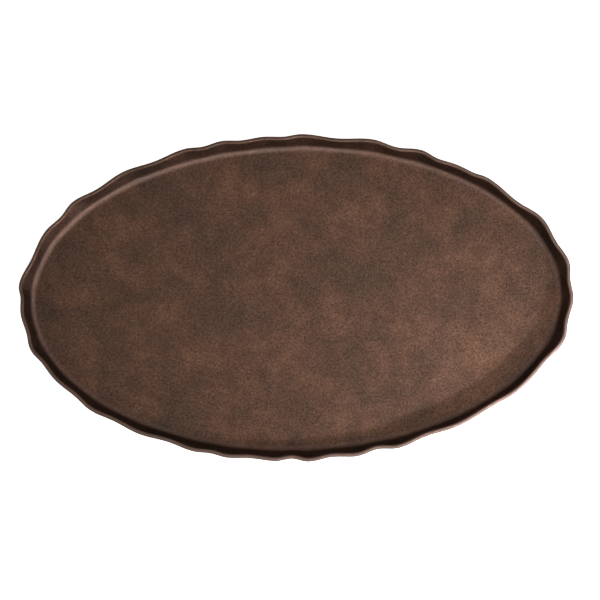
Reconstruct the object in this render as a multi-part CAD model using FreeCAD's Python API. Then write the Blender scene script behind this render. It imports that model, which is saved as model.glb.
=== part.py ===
import FreeCAD, Part
import math
import os

from FreeCAD import Vector

# A hammered copper serving tray: an oval pan raised from one sheet, with its fluted edge rolled
# round a wire, standing on felt pads. Millimetres, +Z up, +X along the length. The origin is under
# the middle of the tray's overall box, at the pads' undersides. The shapes are drawn about the
# centre of the lip's mean oval and moved once, when they are saved. Level distances "in" and "out"
# are from that oval, and out is positive.

# Driving dimensions
LIP_HALF_LENGTH = 303.5     # the lip's mean oval, outermost edge
LIP_HALF_WIDTH = 179.0
OVERALL_HEIGHT = 20.0
SHEET = 1.2                 # copper sheet
WIRE_RADIUS = 1.0
WIRE_PLAY = 0.1             # between the wire and the curl around it
WALL_LEAN_DEG = 62.0        # the wall's slope above level
CREASE_RADIUS = 7.5         # inside corner between floor and wall
CURL_END_DEG = -130.0       # where the rolled edge stops, below and inside the wire
FLOOR_SHIFT = (1.0, -0.4)   # the floor's oval was struck slightly off the lip's

PAD_COUNT = 6
PAD_RADIUS = 19.0
PAD_THICKNESS = 3.0
PAD_OVAL = (225.0, 128.0)   # half length and half width of the oval that the pads stand on
PAD_FIRST_DEG = 30.0

# The flutes that the edge was bent into, going anticlockwise from +X: the bearing of each crest
# round the oval in degrees, how far it stands out, and how far the trough after it stands in.
FLUTES = (
    (10, 3.3, 0.3), (26, 2.7, 3.0), (45, 0.8, 1.4), (53, -0.8, 2.0), (62, 1.7, 2.0),
    (73, 1.7, 1.8), (88, 1.5, 1.0), (96, 0.3, 1.1), (105, 1.6, 0.5), (113, 2.0, 1.2),
    (128, 1.6, 1.2), (143, 2.7, 1.0), (154, 0.9, 2.4), (174, 2.0, 1.3), (184, -0.5, 1.9),
    (197, 1.4, 1.5), (209, -0.5, 1.7), (222, 1.1, 1.2), (235, 0.5, 1.5), (248, 1.6, -0.2),
    (255, 2.0, 0.1), (265, 1.5, 1.3), (272, 2.3, 0.9), (282, 1.4, 2.3), (291, 1.4, 2.5),
    (305, -0.4, 2.2), (323, 0.3, 1.0), (343, 4.3, -0.3), (357, 2.3, 0.0),
)

STATIONS = 360              # places round the oval where each edge curve is fixed
BOX_SAMPLES = 7200          # places looked at for the tray's outermost points

# Worked out
CURL_RADIUS = WIRE_RADIUS + WIRE_PLAY + SHEET
FLOOR_TOP = PAD_THICKNESS + SHEET
BEAD_OUT = -CURL_RADIUS
BEAD_UP = OVERALL_HEIGHT - CURL_RADIUS


def ease(start, end, share):
    """A smooth half wave from start to end."""
    return start + (end - start) * (1.0 - math.cos(math.pi * share)) / 2.0


def flute_turns():
    """Crests and troughs in order round the edge, as (degrees, reach)."""
    turns = []
    for index, (bearing, crest, trough) in enumerate(FLUTES):
        following = FLUTES[(index + 1) % len(FLUTES)][0]
        if following < bearing:
            following += 360
        turns.append((bearing, crest))
        turns.append(((bearing + following) / 2.0, -trough))
    turns.append((FLUTES[0][0] + 360, FLUTES[0][1]))
    return turns


TURNS = flute_turns()


def flute_reach(degrees):
    """How far the edge stands out of its mean oval at a bearing."""
    if degrees < TURNS[0][0]:
        degrees += 360.0
    for (low, start), (high, end) in zip(TURNS, TURNS[1:]):
        if degrees <= high:
            return ease(start, end, (degrees - low) / (high - low))
    return TURNS[-1][1]


def edge_curve(out, up, fluted):
    """A closed level curve round the tray. fluted is 1 where the flutes are full, 0 where gone."""
    points = []
    for station in range(STATIONS):
        degrees = 360.0 * station / STATIONS
        angle = math.radians(degrees)
        normal = Vector(math.cos(angle) / LIP_HALF_LENGTH, math.sin(angle) / LIP_HALF_WIDTH, 0.0)
        normal.normalize()
        reach = out + fluted * flute_reach(degrees)
        x = LIP_HALF_LENGTH * math.cos(angle) + reach * normal.x + (1.0 - fluted) * FLOOR_SHIFT[0]
        y = LIP_HALF_WIDTH * math.sin(angle) + reach * normal.y + (1.0 - fluted) * FLOOR_SHIFT[1]
        points.append(Vector(x, y, up))
    curve = Part.BSplineCurve()
    parameters = [station / STATIONS for station in range(STATIONS + 1)]
    curve.interpolate(Points=points, PeriodicFlag=True, Parameters=parameters)
    return curve


def band(rows, weights, knots, mults, degree):
    """A surface ring through rows of (out, up, fluted), closed round the tray."""
    curves = [edge_curve(*row) for row in rows]
    poles = [curve.getPoles() for curve in curves]
    around = len(poles[0])
    surface = Part.BSplineSurface()
    surface.buildFromPolesMultsKnots(
        poles, mults, curves[0].getMultiplicities(), knots, curves[0].getKnots(),
        False, True, degree, 3, [[weight] * around for weight in weights])
    return surface.toShape()


def straight(start, end):
    """A ring ruled between two rows."""
    return band([start, end], [1.0, 1.0], [0.0, 1.0], [2, 2], 1)


def bend(start, corner, end, half_turn):
    """A ring with a circular section, from its ends and the corner where their tangents meet."""
    weights = [1.0, math.cos(half_turn), 1.0]
    return band([start, corner, end], weights, [0.0, 1.0], [3, 3], 2)


def arc_rings(centre_out, centre_up, radius, first_deg, last_deg, count):
    """Rings of a fluted circular section, count of them from first_deg to last_deg."""
    rings = []
    half = math.radians((last_deg - first_deg) / count) / 2.0
    for index in range(count):
        start = math.radians(first_deg) + 2.0 * half * index
        middle = start + half
        end = middle + half
        reach = radius / math.cos(half)
        rings.append(bend(
            (centre_out + radius * math.cos(start), centre_up + radius * math.sin(start), 1.0),
            (centre_out + reach * math.cos(middle), centre_up + reach * math.sin(middle), 1.0),
            (centre_out + radius * math.cos(end), centre_up + radius * math.sin(end), 1.0),
            half))
    return rings


def level_cap(out, up):
    """The flat oval inside a curve of the floor."""
    return Part.Face(Part.Wire(edge_curve(out, up, 0.0).toShape()))


def closed_solid(faces):
    """One solid from faces that share their edges."""
    shell = Part.makeShell(faces)
    shell.sewShape()
    solid = Part.Solid(Part.Shell(shell.Faces))
    if solid.Volume < 0:
        solid.reverse()
    return solid


def pan_side(radius, floor_up, corner_radius):
    """Rows of one face of the sheet, from the curl's tangent down the wall to the floor's edge."""
    lean = math.radians(WALL_LEAN_DEG)
    top = (BEAD_OUT - radius * math.sin(lean), BEAD_UP + radius * math.cos(lean), 1.0)
    foot_up = floor_up + corner_radius * (1.0 - math.cos(lean))
    foot_out = top[0] - (top[1] - foot_up) / math.tan(lean)
    setback = corner_radius * math.tan(lean / 2.0)
    corner_out = foot_out - (foot_up - floor_up) / math.tan(lean)
    foot = (foot_out, foot_up, 0.2)
    corner = (corner_out, floor_up, 0.05)
    floor_edge = (corner_out - setback, floor_up, 0.0)
    return top, foot, corner, floor_edge


def tray_pan():
    """The copper sheet: floor, crease, flared wall and the edge rolled round the wire."""
    lean = math.radians(WALL_LEAN_DEG)
    inner_radius = CURL_RADIUS - SHEET
    faces = []
    sides = (
        (CURL_RADIUS, FLOOR_TOP, CREASE_RADIUS),
        (inner_radius, PAD_THICKNESS, CREASE_RADIUS + SHEET),
    )
    for radius, floor_up, corner_radius in sides:
        top, foot, corner, floor_edge = pan_side(radius, floor_up, corner_radius)
        faces.append(level_cap(floor_edge[0], floor_up))
        faces.append(bend(floor_edge, corner, foot, lean / 2.0))
        faces.append(straight(foot, top))
        faces += arc_rings(BEAD_OUT, BEAD_UP, radius, 90.0 + WALL_LEAN_DEG, CURL_END_DEG, 3)
    end = math.radians(CURL_END_DEG)
    faces.append(straight(
        (BEAD_OUT + CURL_RADIUS * math.cos(end), BEAD_UP + CURL_RADIUS * math.sin(end), 1.0),
        (BEAD_OUT + inner_radius * math.cos(end), BEAD_UP + inner_radius * math.sin(end), 1.0)))
    return closed_solid(faces)


def rim_wire():
    """The steel wire inside the rolled edge, following its flutes."""
    return closed_solid(arc_rings(BEAD_OUT, BEAD_UP, WIRE_RADIUS, 0.0, 360.0, 4))


def felt_pad(index):
    """One felt disc under the floor."""
    angle = math.radians(PAD_FIRST_DEG + 360.0 * index / PAD_COUNT)
    centre = Vector(PAD_OVAL[0] * math.cos(angle), PAD_OVAL[1] * math.sin(angle), 0.0)
    return Part.makeCylinder(PAD_RADIUS, PAD_THICKNESS, centre)


def move_to_origin():
    """From the mean oval's centre to the middle of the overall box."""
    lip = edge_curve(0.0, 0.0, 1.0)
    points = [lip.value(index / BOX_SAMPLES) for index in range(BOX_SAMPLES)]
    xs = [point.x for point in points]
    ys = [point.y for point in points]
    return Vector(-(min(xs) + max(xs)) / 2.0, -(min(ys) + max(ys)) / 2.0, 0.0)


def save(name, shape, move):
    """Put one piece in its place and write it."""
    shape = shape.translated(move)
    if not shape.isValid():
        raise ValueError(name + " is not a valid solid")
    print(f"{name}: {shape.Volume:.0f} mm3")
    shape.exportStep(f"parts/{name}.step")


def main():
    os.makedirs("parts", exist_ok=True)
    move = move_to_origin()
    print(f"mean oval's centre: {move.x:.3f}, {move.y:.3f}")
    save("tray_pan", tray_pan(), move)
    save("rim_wire", rim_wire(), move)
    for index in range(PAD_COUNT):
        save(f"felt_pad_{index + 1}", felt_pad(index), move)


main()
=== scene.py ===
"""The looks of a hammered copper serving tray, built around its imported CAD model."""
import logging
import math
from dataclasses import dataclass, field

import bpy
import numpy as np
from mathutils import Matrix, Vector


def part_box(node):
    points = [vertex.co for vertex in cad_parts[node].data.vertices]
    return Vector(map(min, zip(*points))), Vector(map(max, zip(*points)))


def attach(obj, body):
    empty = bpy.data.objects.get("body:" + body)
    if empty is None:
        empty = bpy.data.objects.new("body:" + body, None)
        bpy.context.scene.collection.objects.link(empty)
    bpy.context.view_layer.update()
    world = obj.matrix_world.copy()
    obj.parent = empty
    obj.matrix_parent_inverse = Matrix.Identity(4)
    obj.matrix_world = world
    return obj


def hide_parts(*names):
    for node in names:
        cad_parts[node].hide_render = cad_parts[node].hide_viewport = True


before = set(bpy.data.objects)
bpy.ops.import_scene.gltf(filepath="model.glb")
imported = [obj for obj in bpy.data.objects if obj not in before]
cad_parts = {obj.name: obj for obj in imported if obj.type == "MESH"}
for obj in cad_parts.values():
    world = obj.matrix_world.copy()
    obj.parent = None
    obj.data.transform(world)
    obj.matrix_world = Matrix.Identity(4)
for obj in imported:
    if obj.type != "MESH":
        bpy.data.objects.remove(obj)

MM = 0.001
LOG = logging.getLogger("tray")

Row = tuple[float, float, float]

# The flutes bent into the lip, going anticlockwise from +X: the bearing of each crest round the
# oval in degrees, how far it stands out, and how far the trough after it stands in, both in mm.
FLUTES = (
    (10, 3.3, 0.3), (26, 2.7, 3.0), (45, 0.8, 1.4), (53, -0.8, 2.0), (62, 1.7, 2.0),
    (73, 1.7, 1.8), (88, 1.5, 1.0), (96, 0.3, 1.1), (105, 1.6, 0.5), (113, 2.0, 1.2),
    (128, 1.6, 1.2), (143, 2.7, 1.0), (154, 0.9, 2.4), (174, 2.0, 1.3), (184, -0.5, 1.9),
    (197, 1.4, 1.5), (209, -0.5, 1.7), (222, 1.1, 1.2), (235, 0.5, 1.5), (248, 1.6, -0.2),
    (255, 2.0, 0.1), (265, 1.5, 1.3), (272, 2.3, 0.9), (282, 1.4, 2.3), (291, 1.4, 2.5),
    (305, -0.4, 2.2), (323, 0.3, 1.0), (343, 4.3, -0.3), (357, 2.3, 0.0),
)


def linear(hex_colour: str) -> tuple[float, float, float, float]:
    """Turn an sRGB hex colour into a linear one.

    Args:
        hex_colour: Six hex digits after a hash.

    Returns:
        Linear red, green, blue and an alpha of 1.
    """
    values = [int(hex_colour[i:i + 2], 16) / 255.0 for i in (1, 3, 5)]
    curve = [v / 12.92 if v <= 0.04045 else ((v + 0.055) / 1.055) ** 2.4 for v in values]
    return (*curve, 1.0)


def add(tree: bpy.types.NodeTree, kind: str, links: dict | None = None,
        **settings) -> bpy.types.Node:
    """Add a node to a tree.

    Args:
        tree: The node tree.
        kind: The node's type.
        links: Socket name or number to a value, or to the socket that feeds it.
        **settings: The node's own properties.

    Returns:
        The new node.
    """
    node = tree.nodes.new(kind)
    for name, value in settings.items():
        setattr(node, name, value)
    for socket, value in (links or {}).items():
        if isinstance(value, bpy.types.NodeSocket):
            tree.links.new(value, node.inputs[socket])
        else:
            node.inputs[socket].default_value = value
    return node


# ---------------------------------------------------------------------------------------------
# Finishes
# ---------------------------------------------------------------------------------------------


@dataclass(frozen=True)
class AntiqueCopper:
    """Raised copper sheet, blackened in liver of sulphur, rubbed back by hand and lacquered.

    The eye gets a satin brown metal with soft clouds where the rubbing bit deeper, a fine
    pebbled grain whose hollows are darker and ridges lighter, partly patina and partly painted
    shade and highlight of its relief, a thin matt lacquer that whitens the highlights, and bare
    copper on the lip, where hands wear it, made strongest on the key-lit side as painted light.
    A painted highlight of bare copper runs along the crease. The wall and the top of the crease
    are darker: painted shade.
    """

    umber: str = "#7f5d4b"
    olive: str = "#685343"
    tan: str = "#946c53"
    bare: str = "#b39486"
    # Grain colour: hollows darker, ridges lighter; partly patina, partly painted shade and
    # highlight.
    recess_patina_and_shade: float = 0.62
    ridge_rub_and_highlight: float = 1.5
    grain_mm: float = 2.0
    grain_depth_mm: float = 0.9
    cloud_mm: float = 48.0
    rub_mm: float = 17.0
    # Colour level where rub_and_shade is 0, as on the wall: painted shade.
    unrubbed_and_shaded: float = 0.42
    roughness: float = 0.52
    worn_roughness: float = 0.58
    lacquer: float = 0.3
    lacquer_roughness: float = 0.48

    def material(self) -> bpy.types.Material:
        """Build the material.

        Returns:
            A material that reads object coordinates and the pan's lip, grain and rub_and_shade
            attributes, which carry wear, painted highlight and painted shade.
        """
        made = bpy.data.materials.new("antique_copper_sheet")
        made.use_nodes = True
        tree = made.node_tree
        tree.nodes.clear()
        place = add(tree, "ShaderNodeTexCoord").outputs["Object"]
        grain = add(tree, "ShaderNodeAttribute", attribute_name="grain").outputs["Fac"]
        lip = add(tree, "ShaderNodeAttribute", attribute_name="lip").outputs["Fac"]

        pebbles = add(tree, "ShaderNodeTexNoise", {
            "Vector": place, "Scale": 1.0 / (self.grain_mm * MM), "Detail": 2.0,
            "Roughness": 0.7, "Distortion": 0.8}).outputs["Fac"]
        colour = self.patina(tree, place, pebbles, lip)
        height = add(tree, "ShaderNodeMath", {0: pebbles, 1: grain}, operation="MULTIPLY")
        bump = add(tree, "ShaderNodeBump", {
            "Strength": 1.0, "Distance": self.grain_depth_mm * MM,
            "Height": height.outputs[0]})
        rough = add(tree, "ShaderNodeMapRange", {
            "Value": lip, "To Min": self.roughness, "To Max": self.worn_roughness})
        shader = add(tree, "ShaderNodeBsdfPrincipled", {
            "Base Color": colour, "Metallic": 1.0, "Roughness": rough.outputs["Result"],
            "Normal": bump.outputs["Normal"], "Coat Weight": self.lacquer,
            "Coat Roughness": self.lacquer_roughness, "Coat Normal": bump.outputs["Normal"]})
        add(tree, "ShaderNodeOutputMaterial", {"Surface": shader.outputs[0]})
        return made

    def patina(self, tree: bpy.types.NodeTree, place: bpy.types.NodeSocket,
               pebbles: bpy.types.NodeSocket, lip: bpy.types.NodeSocket) -> bpy.types.NodeSocket:
        """Colour the sheet: clouds, darker hollows, a bare lip, painted highlight and painted
        shade.

        Args:
            tree: The material's tree.
            place: Object coordinates.
            pebbles: The grain's pattern.
            lip: How much bare copper shows, from 0 to 1: wear, painted highlight and painted light.

        Returns:
            The colour.
        """
        cloud = add(tree, "ShaderNodeTexNoise", {
            "Vector": place, "W": 2.0, "Scale": 1.0 / (self.cloud_mm * MM), "Detail": 3.0,
            "Roughness": 0.6, "Distortion": 0.5}, noise_dimensions="4D")
        cloud = add(tree, "ShaderNodeMapRange", {
            "Value": cloud.outputs["Fac"], "From Min": 0.27, "From Max": 0.75})
        brown = add(tree, "ShaderNodeValToRGB", {"Fac": cloud.outputs["Result"]})
        ramp = brown.color_ramp
        ramp.elements[0].color = linear(self.olive)
        ramp.elements[1].color = linear(self.tan)
        ramp.elements.new(0.5).color = linear(self.umber)
        rub = add(tree, "ShaderNodeTexNoise", {
            "Vector": place, "W": 5.0, "Scale": 1.0 / (self.rub_mm * MM), "Detail": 4.0,
            "Roughness": 0.6, "Distortion": 0.3}, noise_dimensions="4D")
        rub = add(tree, "ShaderNodeMapRange", {
            "Value": rub.outputs["Fac"],
            "From Min": 0.3, "From Max": 0.7, "To Min": 0.84, "To Max": 1.16})
        # Grain colour: hollows darker and ridges lighter, partly patina, partly painted shade and
        # highlight.
        fine = add(tree, "ShaderNodeMapRange", {
            "Value": pebbles, "From Min": 0.38, "From Max": 0.66,
            "To Min": self.recess_patina_and_shade, "To Max": self.ridge_rub_and_highlight})
        level = add(tree, "ShaderNodeMath", {
            0: rub.outputs["Result"], 1: fine.outputs["Result"]}, operation="MULTIPLY")
        # Painted shade: rub_and_shade darkens the wall and the top of the crease.
        reach = add(tree, "ShaderNodeAttribute", attribute_name="rub_and_shade").outputs["Fac"]
        reach = add(tree, "ShaderNodeMapRange", {"Value": reach, "To Min": self.unrubbed_and_shaded})
        level = add(tree, "ShaderNodeMath", {
            0: level.outputs[0], 1: reach.outputs["Result"]}, operation="MULTIPLY")
        aged = add(tree, "ShaderNodeVectorMath", {
            0: brown.outputs["Color"], "Scale": level.outputs[0]}, operation="SCALE")
        colour = add(tree, "ShaderNodeMix", {
            0: lip, 6: aged.outputs[0], 7: linear(self.bare)}, data_type="RGBA")
        return colour.outputs[2]


@dataclass(frozen=True)
class GalvanisedWire:
    """Drawn steel wire dipped in zinc: to the eye, a dull and slightly mottled grey metal."""

    dark: str = "#8f9294"
    light: str = "#b4b7b8"
    spangle_mm: float = 1.5

    def material(self) -> bpy.types.Material:
        """Build the material.

        Returns:
            A material that reads object coordinates.
        """
        made = bpy.data.materials.new("galvanised_steel_wire")
        made.use_nodes = True
        tree = made.node_tree
        tree.nodes.clear()
        place = add(tree, "ShaderNodeTexCoord").outputs["Object"]
        spangle = add(tree, "ShaderNodeTexNoise", {
            "Vector": place, "Scale": 1.0 / (self.spangle_mm * MM), "Detail": 2.0})
        colour = add(tree, "ShaderNodeMix", {
            0: spangle.outputs["Fac"], 6: linear(self.dark), 7: linear(self.light)},
            data_type="RGBA")
        rough = add(tree, "ShaderNodeMapRange", {
            "Value": spangle.outputs["Fac"], "To Min": 0.35, "To Max": 0.6})
        shader = add(tree, "ShaderNodeBsdfPrincipled", {
            "Base Color": colour.outputs[2], "Metallic": 1.0,
            "Roughness": rough.outputs["Result"]})
        add(tree, "ShaderNodeOutputMaterial", {"Surface": shader.outputs[0]})
        return made


@dataclass(frozen=True)
class PressedFelt:
    """Needled wool felt: matte, dark, with a soft sheen where fibres catch the light.

    Real fibres are far finer than fibre_mm. They are drawn this coarse so that they show.
    """

    deep: str = "#1d1814"
    worn: str = "#3a322b"
    fibre_mm: float = 0.5
    nap_mm: float = 0.2

    def material(self) -> bpy.types.Material:
        """Build the material.

        Returns:
            A material that reads object coordinates.
        """
        made = bpy.data.materials.new("pressed_wool_felt")
        made.use_nodes = True
        tree = made.node_tree
        tree.nodes.clear()
        place = add(tree, "ShaderNodeTexCoord").outputs["Object"]
        fibres = add(tree, "ShaderNodeTexNoise", {
            "Vector": place, "Scale": 1.0 / (self.fibre_mm * MM), "Detail": 4.0,
            "Roughness": 0.7, "Distortion": 1.2})
        colour = add(tree, "ShaderNodeMix", {
            0: fibres.outputs["Fac"], 6: linear(self.deep), 7: linear(self.worn)},
            data_type="RGBA")
        bump = add(tree, "ShaderNodeBump", {
            "Strength": 0.8, "Distance": self.nap_mm * MM, "Height": fibres.outputs["Fac"]})
        shader = add(tree, "ShaderNodeBsdfPrincipled", {
            "Base Color": colour.outputs[2], "Roughness": 0.95, "Sheen Weight": 0.4,
            "Sheen Roughness": 0.5, "Normal": bump.outputs["Normal"]})
        add(tree, "ShaderNodeOutputMaterial", {"Surface": shader.outputs[0]})
        return made


# ---------------------------------------------------------------------------------------------
# The tray's form
# ---------------------------------------------------------------------------------------------


@dataclass(frozen=True)
class LipOval:
    """The lip's mean oval and the flutes round it, in millimetres."""

    half_length: float = 303.5
    half_width: float = 179.0
    floor_shift: tuple[float, float] = (1.0, -0.4)
    length_samples: int = 20001
    outline_samples: int = 7201

    def turns(self) -> tuple[np.ndarray, np.ndarray]:
        """List crests and troughs in order.

        Returns:
            Their bearings in degrees over a little more than one turn, and their reach.
        """
        bearings, reaches = [], []
        for index, (bearing, crest, trough) in enumerate(FLUTES):
            following = FLUTES[(index + 1) % len(FLUTES)][0]
            following += 360 if following < bearing else 0
            bearings += [bearing, (bearing + following) / 2.0]
            reaches += [crest, -trough]
        bearings.append(FLUTES[0][0] + 360)
        reaches.append(FLUTES[0][1])
        return np.array(bearings, float), np.array(reaches, float)

    def flute(self, angle: np.ndarray) -> np.ndarray:
        """Reach of the lip out of its mean oval, easing from crest to trough.

        Args:
            angle: Bearings round the oval in radians.

        Returns:
            Millimetres outwards.
        """
        bearings, reaches = self.turns()
        degrees = np.mod(np.degrees(angle) - bearings[0], 360.0) + bearings[0]
        after = np.clip(np.searchsorted(bearings, degrees, side="left"), 1, len(bearings) - 1)
        low, high = bearings[after - 1], bearings[after]
        share = (degrees - low) / (high - low)
        start, end = reaches[after - 1], reaches[after]
        return start + (end - start) * (1.0 - np.cos(math.pi * share)) / 2.0

    def stations(self, count: int) -> np.ndarray:
        """Bearings at equal steps along the oval.

        Args:
            count: How many.

        Returns:
            Bearings in radians, from 0.
        """
        fine = np.linspace(0.0, 2.0 * math.pi, self.length_samples)
        x, y = self.half_length * np.cos(fine), self.half_width * np.sin(fine)
        along = np.concatenate([[0.0], np.cumsum(np.hypot(np.diff(x), np.diff(y)))])
        return np.interp(np.arange(count) * along[-1] / count, along, fine)

    def ring(self, angle: np.ndarray, row: Row) -> np.ndarray:
        """Points of one row round the tray.

        Args:
            angle: Bearings in radians.
            row: Distance out, height, and how full the flutes are, from 0 to 1.

        Returns:
            Points in millimetres about the mean oval's centre.
        """
        out, up, fluted = row
        normal = np.stack([np.cos(angle) / self.half_length, np.sin(angle) / self.half_width])
        normal /= np.linalg.norm(normal, axis=0)
        reach = out + fluted * self.flute(angle)
        x = self.half_length * np.cos(angle) + reach * normal[0]
        y = self.half_width * np.sin(angle) + reach * normal[1]
        x += (1.0 - fluted) * self.floor_shift[0]
        y += (1.0 - fluted) * self.floor_shift[1]
        return np.stack([x, y, np.full_like(x, up)], axis=1)

    def centre(self) -> np.ndarray:
        """Find the mean oval's centre when the overall box is centred on the origin.

        Returns:
            Its place in millimetres.
        """
        outline = self.ring(
            np.linspace(0.0, 2.0 * math.pi, self.outline_samples), (0.0, 0.0, 1.0))
        middle = (outline.min(axis=0) + outline.max(axis=0)) / 2.0
        return -middle


@dataclass
class HammeredPan:
    """The pan: one copper sheet with a hammered floor, a low wall and a rolled, fluted lip.

    Sizes are in millimetres. Wear, grain, and rubbing with painted shade run from 0 to 1, and go
    into the mesh's attributes. The lip is worn most round wear_centre_deg, counted about its wire
    from level and outwards. Along the edge its bare copper is strongest at lit_side_deg, the side
    that faces the key light, and fades out at the back: painted light. The lip attribute also
    carries a painted highlight of bare copper along the crease, and the rubbing attribute carries
    painted shade, darkest on the wall.
    """

    oval: LipOval = field(default_factory=LipOval)
    overall_height: float = 20.0
    underside: float = 3.0
    sheet: float = 1.2
    wire_radius: float = 1.0
    wire_play: float = 0.1
    lean_deg: float = 62.0
    crease_radius: float = 7.5
    curl_end_deg: float = -130.0
    inset: float = 0.05
    crease_steps: int = 8
    wall_steps: int = 8
    curl_steps: int = 16
    inner_steps: int = 9
    back_wall_steps: int = 6
    back_crease_steps: int = 5
    # Painted highlight: bare copper along the middle of the crease.
    crease_painted_highlight: float = 0.3
    crease_smoothing: float = 0.4
    wall_grain: float = 0.3
    lip_grain: float = 0.15
    wear_centre_deg: float = 95.0
    wear_reach_deg: float = 72.0
    # Painted light: bearing where the lip's bare copper is strongest, facing the key light.
    lit_side_deg: float = -45.0
    lit_side_mean: float = 0.54
    lit_side_swing: float = 0.46
    inner_wear: float = 0.3
    back_grain: float = 0.5
    back_rubbed: float = 0.5
    back_ring_count: int = 26
    back_fine_rings: int = 10
    back_fine_step: float = 0.022
    back_step: float = 0.045
    back_halvings: tuple[int, int] = (3, 12)
    cells_long: int = 206
    cells_wide: int = 124
    floor_rings: int = 46
    block_share: float = 0.7
    mark_spacing: float = 7.5
    mark_depth: float = 0.10
    swell_spacing: float = 95.0
    swell_depth: float = 0.25

    def __post_init__(self) -> None:
        """Work out what follows from the driving sizes."""
        self.around = 2 * (self.cells_long + self.cells_wide)
        self.angle = self.oval.stations(self.around)
        self.curl_radius = self.sheet + self.wire_radius + self.wire_play
        self.bead = (-self.curl_radius, self.overall_height - self.curl_radius)

    def side(self, radius: float, floor_up: float, corner_radius: float) -> list[Row]:
        """Corner rows of one side of the sheet.

        Args:
            radius: Radius of that side in the curl.
            floor_up: Height of the floor on that side.
            corner_radius: Radius of the crease on that side.

        Returns:
            The wall's top, its foot, the crease's corner and the floor's edge.
        """
        lean = math.radians(self.lean_deg)
        top = (self.bead[0] - radius * math.sin(lean), self.bead[1] + radius * math.cos(lean), 1.0)
        foot_up = floor_up + corner_radius * (1.0 - math.cos(lean))
        foot_out = top[0] - (top[1] - foot_up) / math.tan(lean)
        corner_out = foot_out - (foot_up - floor_up) / math.tan(lean)
        edge_out = corner_out - corner_radius * math.tan(lean / 2.0)
        return [top, (foot_out, foot_up, 0.2), (corner_out, floor_up, 0.05),
                (edge_out, floor_up, 0.0)]

    def crease(self, edge: Row, corner: Row, foot: Row, steps: int) -> list[Row]:
        """Rows round the crease, after the floor's edge and up to the wall's foot.

        Args:
            edge: The floor's edge.
            corner: Where the floor and the wall would meet without the crease.
            foot: The wall's foot.
            steps: How many rows.

        Returns:
            The rows, the last at the foot.
        """
        weight = math.cos(math.radians(self.lean_deg) / 2.0)
        rows = []
        for step in range(1, steps + 1):
            t = step / steps
            shares = ((1.0 - t) ** 2, 2.0 * weight * t * (1.0 - t), t * t)
            total = sum(shares)
            rows.append(tuple(
                sum(s * row[axis] for s, row in zip(shares, (edge, corner, foot))) / total
                for axis in range(3)))
        return rows

    def curl(self, radius: float, steps: int) -> list[Row]:
        """Rows round the rolled edge, from the wall's top to the curl's end.

        Args:
            radius: Radius of this side of the sheet about the wire.
            steps: How many steps.

        Returns:
            One more row than there are steps.
        """
        out, up = self.bead
        turns = [math.radians(turn) for turn in self.curl_turns(steps)]
        return [(out + radius * math.cos(turn), up + radius * math.sin(turn), 1.0)
                for turn in turns]

    def curl_turns(self, steps: int) -> list[float]:
        """Degrees round the wire at each row of the rolled edge, from the wall's top."""
        first, last = 90.0 + self.lean_deg, self.curl_end_deg
        return [first + (last - first) * step / steps for step in range(steps + 1)]

    def section(self) -> tuple[list[Row], list[float], list[float], list[float]]:
        """The sheet's section outside its floor, from the top of the floor to the underside.

        Returns:
            Rows, and per row its wear and painted highlight, grain, and rubbing and painted shade.
        """
        floor_top = self.underside + self.sheet
        top, foot, corner, edge = self.side(self.curl_radius, floor_top, self.crease_radius)
        rows = self.crease(edge, corner, foot, self.crease_steps)
        count = len(rows)
        steps = range(1, count + 1)
        # Painted highlight of bare copper along the middle of the crease.
        lip = [self.crease_painted_highlight * math.sin(math.pi * step / (count + 1)) for step in steps]
        grain = [1.0 - self.crease_smoothing * step / count for step in steps]
        # Painted shade from the middle of the crease up to the wall's foot.
        rub_and_shade = [min(1.0, 2.0 - 2.0 * step / count) for step in steps]
        # Painted shade all the way up the wall.
        for step in range(1, self.wall_steps):
            t = step / self.wall_steps
            rows.append(tuple(a + (b - a) * t for a, b in zip(foot, top)))
            lip.append(0.0)
            grain.append(self.wall_grain * (1.0 - t))
            rub_and_shade.append(0.0)

        outer = self.curl(self.curl_radius - self.inset, self.curl_steps)
        rows += outer
        for turn in self.curl_turns(self.curl_steps):
            off_centre = (turn - self.wear_centre_deg) / self.wear_reach_deg
            lip.append(max(0.0, 1.0 - off_centre ** 2))
        grain += [self.lip_grain] * len(outer)
        # Painted shade fading out over the curl's first rows.
        rub_and_shade += [min(1.0, step / 2.0) for step in range(len(outer))]

        inner = self.curl(self.curl_radius - self.sheet, self.inner_steps)[::-1]
        rows += inner
        lip += [self.inner_wear] * len(inner)
        grain += [0.0] * len(inner)
        rub_and_shade += [0.0] * len(inner)

        top, foot, corner, edge = self.side(
            self.curl_radius - self.sheet, self.underside, self.crease_radius + self.sheet)
        before = len(rows)
        for step in range(1, self.back_wall_steps):
            t = step / self.back_wall_steps
            rows.append(tuple(a + (b - a) * t for a, b in zip(top, foot)))
        rows += self.crease(edge, corner, foot, self.back_crease_steps)[::-1] + [edge]
        added = len(rows) - before
        lip += [0.0] * added
        grain += [self.back_grain] * added
        rub_and_shade += [self.back_rubbed] * added
        return rows, lip, grain, rub_and_shade

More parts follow.
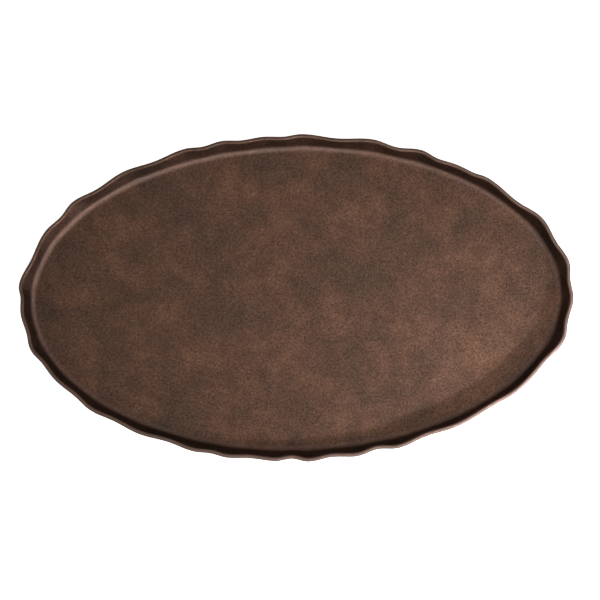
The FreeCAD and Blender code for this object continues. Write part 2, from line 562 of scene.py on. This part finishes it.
    def floor_grid(self, edge: np.ndarray) -> tuple[np.ndarray, list, np.ndarray]:
        """An even grid of four-sided cells over the floor: a block in the middle, then rings.

        Args:
            edge: Points round the floor's edge, one per station.

        Returns:
            Points, faces, and the numbers of the points round the block.
        """
        long, wide = self.cells_long, self.cells_wide
        centre = edge.mean(axis=0)
        corner = edge[wide // 2] - centre
        sides = np.empty_like(edge)
        for station in range(self.around):
            turn = (station + wide // 2) % self.around
            if turn < wide:
                point = (1.0, 2.0 * turn / wide - 1.0)
            elif turn < wide + long:
                point = (1.0 - 2.0 * (turn - wide) / long, 1.0)
            elif turn < 2 * wide + long:
                point = (-1.0, 1.0 - 2.0 * (turn - wide - long) / wide)
            else:
                point = (2.0 * (turn - 2 * wide - long) / long - 1.0, -1.0)
            sides[station] = centre + np.array([point[0] * corner[0], point[1] * corner[1], 0.0])
        block_edge = centre + self.block_share * (0.5 * (edge - centre) + 0.5 * (sides - centre))

        order = np.roll(block_edge, wide // 2, axis=0)
        right = order[:wide + 1]
        top = order[wide:wide + long + 1][::-1]
        left = order[wide + long:2 * wide + long + 1][::-1]
        bottom = np.concatenate([order[2 * wide + long:], order[:1]])
        u = np.linspace(0.0, 1.0, long + 1)[:, None, None]
        v = np.linspace(0.0, 1.0, wide + 1)[None, :, None]
        block = (1 - v) * bottom[:, None] + v * top[:, None]
        block = block + (1 - u) * left[None] + u * right[None]
        block -= (1 - u) * (1 - v) * bottom[0] + u * (1 - v) * bottom[-1]
        block -= (1 - u) * v * top[0] + u * v * top[-1]

        number = np.arange((long + 1) * (wide + 1)).reshape(long + 1, wide + 1)
        faces = np.stack([number[:-1, :-1], number[1:, :-1], number[1:, 1:], number[:-1, 1:]],
                         axis=-1).reshape(-1, 4).tolist()
        rim = np.concatenate([number[-1, :-1], number[1:, -1][::-1], number[0, 1:][::-1],
                              number[:-1, 0]])
        rim = np.roll(rim, -(wide // 2))
        points = [block.reshape(-1, 3)]
        for ring in range(1, self.floor_rings + 1):
            t = ring / self.floor_rings
            points.append(block_edge + (edge - block_edge) * t)
        return np.concatenate(points), faces, rim

    def mesh(self) -> bpy.types.Mesh:
        """Build the sheet as one closed mesh.

        Returns:
            The mesh in metres, with point attributes lip, grain and rubbed.
        """
        floor_top = self.underside + self.sheet
        edge_row = self.side(self.curl_radius, floor_top, self.crease_radius)[3]
        edge = self.oval.ring(self.angle, edge_row)
        points, faces, last = self.floor_grid(edge)
        lip = [0.0] * len(points)
        grain = [1.0] * len(points)
        rub_and_shade = [1.0] * len(points)
        start = len(points) - self.floor_rings * self.around
        loops = [start + ring * self.around + np.arange(self.around)
                 for ring in range(self.floor_rings)]

        rows, row_lip, row_grain, row_rub_and_shade = self.section()
        # Painted light: the lip's bare copper is strongest on the key-lit side and fades out at the
        # back.
        lit_side_share = self.lit_side_mean + self.lit_side_swing * np.cos(
            self.angle - math.radians(self.lit_side_deg))
        everywhere = np.ones(self.around)
        rings = [points]
        count = len(points)
        for row, wear, pebble, rub in zip(rows, row_lip, row_grain, row_rub_and_shade):
            rings.append(self.oval.ring(self.angle, row))
            loops.append(count + np.arange(self.around))
            on_edge = row[2] == 1.0
            lip += (wear * (lit_side_share if on_edge else everywhere)).tolist()
            grain += [pebble] * self.around
            rub_and_shade += [rub] * self.around
            count += self.around
        for loop in loops:
            ahead = np.roll(last, -1), np.roll(loop, -1)
            faces += np.stack([last, loop, ahead[1], ahead[0]], axis=1).tolist()
            last = loop

        back_edge = rings[-1]
        centre = back_edge.mean(axis=0)
        for share, halve in self.back_rings():
            step = 2 if halve else 1
            keep = np.arange(0, self.around, self.around // (len(last) // step))
            ring = centre + (back_edge[keep] - centre) * share
            loop = count + np.arange(len(ring))
            ahead = np.roll(loop, -1)
            if halve:
                first, middle, third = last[0::2], last[1::2], np.roll(last[0::2], -1)
                faces += np.stack([first, loop, middle], axis=1).tolist()
                faces += np.stack([middle, loop, ahead], axis=1).tolist()
                faces += np.stack([middle, ahead, third], axis=1).tolist()
            else:
                faces += np.stack([last, loop, ahead, np.roll(last, -1)], axis=1).tolist()
            rings.append(ring)
            lip += [0.0] * len(ring)
            grain += [self.back_grain] * len(ring)
            rub_and_shade += [self.back_rubbed] * len(ring)
            count += len(ring)
            last = loop
        rings.append(centre[None])
        lip.append(0.0)
        grain.append(self.back_grain)
        rub_and_shade.append(self.back_rubbed)
        faces += [[int(a), count, int(b)] for a, b in zip(last, np.roll(last, -1))]

        place = np.concatenate(rings) + self.oval.centre()
        mesh = bpy.data.meshes.new("hammered_pan")
        mesh.from_pydata((place * MM).tolist(), [], faces)
        for name, values in (("lip", lip), ("grain", grain), ("rub_and_shade", rub_and_shade)):
            mesh.attributes.new(name, "FLOAT", "POINT").data.foreach_set("value", values)
        mesh.shade_smooth()
        return mesh

    def back_rings(self) -> list[tuple[float, bool]]:
        """List the rings over the underside, from the edge inwards.

        Returns:
            Each ring's share of the edge's size, and if it halves the count of points.
        """
        rings = []
        share = 1.0
        for step in range(self.back_ring_count):
            share -= self.back_fine_step if step < self.back_fine_rings else self.back_step
            rings.append((share, step in self.back_halvings))
        return rings

    def build(self, copper: bpy.types.Material) -> bpy.types.Object:
        """Make the pan, hammer it and give it its finish.

        Args:
            copper: The sheet's material.

        Returns:
            The finished piece.
        """
        pan = bpy.data.objects.new("hammered_pan", self.mesh())
        bpy.context.scene.collection.objects.link(pan)
        hammer(pan, copper, {
            "Mark Spacing": self.mark_spacing * MM, "Mark Depth": self.mark_depth * MM,
            "Swell Spacing": self.swell_spacing * MM, "Swell Depth": self.swell_depth * MM})
        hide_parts("tray_pan")
        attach(pan, "root")
        return pan


BOWL_LEVEL = 0.3    # taken off every mark, so that hammering adds almost no thickness
HAMMER_SEED = 4.0


def hammer(piece: bpy.types.Object, finish: bpy.types.Material, sizes: dict[str, float]) -> None:
    """Strike a sheet all over with a small hammer, as deep as its grain attribute says.

    Each blow leaves a shallow bowl round its own point, and the bowls meet in low ridges.
    Slow swells between them are left from raising the sheet.

    Args:
        piece: The sheet's object, whose mesh is replaced by the hammered one.
        finish: The sheet's material.
        sizes: The tree's inputs by name, in metres.
    """
    tree = bpy.data.node_groups.new("hammer_blows", "GeometryNodeTree")
    tree.is_modifier = True
    face = tree.interface
    face.new_socket(name="Sheet", in_out="INPUT", socket_type="NodeSocketGeometry")
    sockets = {name: face.new_socket(name=name, in_out="INPUT", socket_type="NodeSocketFloat")
               for name in sizes}
    sockets["Seed"] = face.new_socket(name="Seed", in_out="INPUT", socket_type="NodeSocketFloat")
    face.new_socket(name="Sheet", in_out="OUTPUT", socket_type="NodeSocketGeometry")

    given = add(tree, "NodeGroupInput").outputs
    place = add(tree, "GeometryNodeInputPosition").outputs[0]
    per_mark = add(tree, "ShaderNodeMath", {0: 1.0, 1: given["Mark Spacing"]}, operation="DIVIDE")
    blows = add(tree, "ShaderNodeTexVoronoi", {
        "Vector": place, "W": given["Seed"], "Scale": per_mark.outputs[0]},
        voronoi_dimensions="4D", feature="F1")
    bowl = add(tree, "ShaderNodeMath", {0: blows.outputs["Distance"], 1: 2.0}, operation="POWER")
    bowl = add(tree, "ShaderNodeMath", {0: bowl.outputs[0], 1: BOWL_LEVEL}, operation="SUBTRACT")
    bowl = add(tree, "ShaderNodeMath", {0: bowl.outputs[0], 1: given["Mark Depth"]},
               operation="MULTIPLY")
    per_swell = add(tree, "ShaderNodeMath", {0: 1.0, 1: given["Swell Spacing"]},
                    operation="DIVIDE")
    swell = add(tree, "ShaderNodeTexNoise", {
        "Vector": place, "W": given["Seed"], "Scale": per_swell.outputs[0], "Detail": 1.0},
        noise_dimensions="4D")
    swell = add(tree, "ShaderNodeMath", {0: swell.outputs["Fac"], 1: 0.5}, operation="SUBTRACT")
    swell = add(tree, "ShaderNodeMath", {0: swell.outputs[0], 1: given["Swell Depth"]},
                operation="MULTIPLY")
    both = add(tree, "ShaderNodeMath", {0: bowl.outputs[0], 1: swell.outputs[0]},
               operation="ADD")
    share = add(tree, "GeometryNodeInputNamedAttribute", {"Name": "grain"}, data_type="FLOAT")
    rise = add(tree, "ShaderNodeMath", {0: both.outputs[0], 1: share.outputs["Attribute"]},
               operation="MULTIPLY")
    normal = add(tree, "GeometryNodeInputNormal").outputs[0]
    shift = add(tree, "ShaderNodeVectorMath", {0: normal, "Scale": rise.outputs[0]},
                operation="SCALE")
    struck = add(tree, "GeometryNodeSetPosition", {
        "Geometry": given["Sheet"], "Offset": shift.outputs[0]})
    real = add(tree, "GeometryNodeRealizeInstances", {"Geometry": struck.outputs[0]})
    dressed = add(tree, "GeometryNodeSetMaterial", {
        "Geometry": real.outputs[0], "Material": finish})
    add(tree, "NodeGroupOutput", {"Sheet": dressed.outputs[0]})
    bake(piece, tree, {sockets[name].identifier: value for name, value in sizes.items()}
         | {sockets["Seed"].identifier: HAMMER_SEED})


def bake(piece: bpy.types.Object, tree: bpy.types.NodeTree, values: dict[str, float]) -> None:
    """Run a geometry tree on a piece and keep only the plain mesh.

    Args:
        piece: The object whose mesh is replaced.
        tree: The geometry tree.
        values: Its inputs, by socket identifier.
    """
    modifier = piece.modifiers.new(tree.name, "NODES")
    modifier.node_group = tree
    for identifier, value in values.items():
        modifier[identifier] = value
    bpy.context.view_layer.update()
    evaluated = piece.evaluated_get(bpy.context.evaluated_depsgraph_get())
    plain = bpy.data.meshes.new_from_object(evaluated)
    piece.modifiers.clear()
    piece.data = plain


@dataclass
class FeltPad:
    """One self-adhesive felt disc, its cut edge rounded below. Sizes are in millimetres."""

    node: str
    edge_round: float = 0.7
    edge_steps: int = 5
    slack: float = 0.1
    bevel_out: float = 0.3
    bevel_up: float = 0.4
    face_shares: tuple[float, ...] = (0.25, 0.5, 0.75, 0.9)
    stations: int = 96

    def build(self, felt: bpy.types.Material) -> bpy.types.Object:
        """Make the disc where the CAD pad is.

        Args:
            felt: The pad's material.

        Returns:
            The finished piece.
        """
        low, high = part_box(self.node)
        centre = (low + high) / 2.0
        radius = (high.x - low.x) / 2.0 - self.slack * MM
        round_by = self.edge_round * MM
        bends = [math.radians(90.0 * step / self.edge_steps)
                 for step in range(self.edge_steps + 1)]
        profile = [(radius - round_by + round_by * math.sin(bend),
                    low.z + round_by * (1.0 - math.cos(bend))) for bend in bends]
        profile += [(radius, high.z - self.bevel_up * MM), (radius - self.bevel_out * MM, high.z)]
        inner = [(radius * share, low.z) for share in self.face_shares]
        rows = inner + profile
        turn = np.arange(self.stations) * 2.0 * math.pi / self.stations
        points = [(centre.x, centre.y, low.z)]
        for out, up in rows:
            points += [(centre.x + out * math.cos(t), centre.y + out * math.sin(t), up)
                       for t in turn]
        points.append((centre.x, centre.y, high.z))
        ring = np.arange(self.stations)
        faces = [[0, 1 + int(b), 1 + int(a)] for a, b in zip(ring, np.roll(ring, -1))]
        for row in range(len(rows) - 1):
            a = 1 + row * self.stations + ring
            b = a + self.stations
            faces += np.stack([a, np.roll(a, -1), np.roll(b, -1), b], axis=1).tolist()
        last = 1 + (len(rows) - 1) * self.stations + ring
        tip = len(points) - 1
        faces += [[int(a), int(b), tip] for a, b in zip(last, np.roll(last, -1))]
        mesh = bpy.data.meshes.new(self.node + "_disc")
        mesh.from_pydata(points, [], faces)
        mesh.shade_smooth()
        mesh.materials.append(felt)
        disc = bpy.data.objects.new(self.node.replace("felt_pad", "felt_disc"), mesh)
        bpy.context.scene.collection.objects.link(disc)
        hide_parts(self.node)
        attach(disc, "root")
        return disc


# ---------------------------------------------------------------------------------------------
# Stage
# ---------------------------------------------------------------------------------------------


@dataclass(frozen=True)
class SoftBox:
    """A rectangular studio light aimed at the tray."""

    name: str
    bearing_deg: float
    height_deg: float
    distance: float
    width: float
    height: float
    watts: float
    colour: str = "#ffffff"
    spread_deg: float = 180.0
    aim: tuple[float, float] = (0.0, 0.0)

    def build(self) -> bpy.types.Object:
        """Hang the light.

        Returns:
            The light's object.
        """
        data = bpy.data.lights.new(self.name, "AREA")
        data.shape = "RECTANGLE"
        data.size = self.width
        data.size_y = self.height
        data.energy = self.watts
        data.color = linear(self.colour)[:3]
        data.spread = math.radians(self.spread_deg)
        light = bpy.data.objects.new(self.name, data)
        bearing, rise = math.radians(self.bearing_deg), math.radians(self.height_deg)
        towards = Vector((math.cos(bearing) * math.cos(rise), math.sin(bearing) * math.cos(rise),
                          math.sin(rise)))
        light.location = towards * self.distance
        facing = light.location - Vector((*self.aim, 0.0))
        light.rotation_euler = facing.to_track_quat("Z", "Y").to_euler()
        bpy.context.scene.collection.objects.link(light)
        return light


@dataclass(frozen=True)
class Studio:
    """Pale floor, soft lights and a long lens almost straight above the tray."""

    camera_bearing_deg: float = -1.24
    camera_height_deg: float = 85.0
    camera_distance: float = 2.0
    focal_mm: float = 108.26
    aim: tuple[float, float] = (0.0042, -0.0021)
    floor_size: float = 12.0
    floor_gap_mm: float = 0.2
    floor_colour: str = "#f4f4f3"
    world_colour: str = "#9a9a9a"
    world_strength: float = 0.72

    def lights(self) -> list[SoftBox]:
        """List the studio's lights.

        Returns:
            A small key light, which draws the rim's shadow on the floor, and wide soft fills.
        """
        return [
            SoftBox("key_light", -38.0, 23.5, 1.8, 0.12, 0.08, 0.65, "#f2f6ff", 30.0, (0.2, -0.1)),
            SoftBox("front_light", -72.0, 36.0, 2.0, 0.8, 0.5, 6.0),
            SoftBox("east_light", -20.0, 62.0, 1.2, 0.3, 0.3, 0.14, "#ffffff", 50.0, (0.24, -0.06)),
            SoftBox("right_light", 15.0, 36.0, 2.0, 0.3, 0.3, 1.6),
            SoftBox("left_light", -167.0, 32.0, 2.0, 0.25, 0.2, 1.5),
        ]

    def build(self) -> None:
        """Set up the floor, the lights, the world and the camera."""
        half = self.floor_size / 2.0
        mesh = bpy.data.meshes.new("studio_floor")
        level = -self.floor_gap_mm * MM
        mesh.from_pydata([(-half, -half, level), (half, -half, level), (half, half, level),
                          (-half, half, level)], [], [(0, 1, 2, 3)])
        floor = bpy.data.objects.new("studio_floor", mesh)
        bpy.context.scene.collection.objects.link(floor)
        mesh.materials.append(self.floor_material())
        floor.visible_glossy = False
        for light in self.lights():
            light.build()
        world = bpy.data.worlds.new("studio_air")
        world.use_nodes = True
        background = world.node_tree.nodes["Background"]
        background.inputs["Color"].default_value = linear(self.world_colour)
        background.inputs["Strength"].default_value = self.world_strength
        scene = bpy.context.scene
        scene.world = world
        scene.view_settings.view_transform = "Standard"
        self.camera()

    def floor_material(self) -> bpy.types.Material:
        """Build a matte, back-lit white sweep, on which shadows stay faint.

        Returns:
            The material.
        """
        made = bpy.data.materials.new("white_sweep")
        made.use_nodes = True
        shader = made.node_tree.nodes["Principled BSDF"]
        shader.inputs["Base Color"].default_value = linear(self.floor_colour)
        shader.inputs["Roughness"].default_value = 0.9
        shader.inputs["Emission Color"].default_value = linear(self.floor_colour)
        shader.inputs["Emission Strength"].default_value = 1.1
        return made

    def camera(self) -> None:
        """Place the camera."""
        data = bpy.data.cameras.new("camera")
        data.lens = self.focal_mm
        data.sensor_width = 36.0
        data.clip_end = 20.0
        camera = bpy.data.objects.new("camera", data)
        bearing, rise = math.radians(self.camera_bearing_deg), math.radians(self.camera_height_deg)
        back = Vector((math.sin(bearing) * math.cos(rise), -math.cos(bearing) * math.cos(rise),
                       math.sin(rise)))
        right = Vector((math.cos(bearing), math.sin(bearing), 0.0))
        up = back.cross(right)
        turn = Matrix((right, up, back)).transposed()
        place = Vector((*self.aim, 0.0)) + back * self.camera_distance
        camera.matrix_world = Matrix.Translation(place) @ turn.to_4x4()
        bpy.context.scene.collection.objects.link(camera)
        bpy.context.scene.camera = camera


def main() -> None:
    """Build the tray's pieces in order and report each one."""
    logging.basicConfig(level=logging.INFO, format="%(name)s: %(message)s")
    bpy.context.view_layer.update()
    Studio().build()

    pan = HammeredPan().build(AntiqueCopper().material())
    LOG.info("%s: %d faces", pan.name, len(pan.data.polygons))

    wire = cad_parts["rim_wire"]
    wire.data.materials.clear()
    wire.data.materials.append(GalvanisedWire().material())
    LOG.info("rim_wire: carried over")

    felt = PressedFelt().material()
    for node in sorted(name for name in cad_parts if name.startswith("felt_pad")):
        disc = FeltPad(node).build(felt)
        LOG.info("%s: %d faces", disc.name, len(disc.data.polygons))


if __name__ == "__main__":
    main()
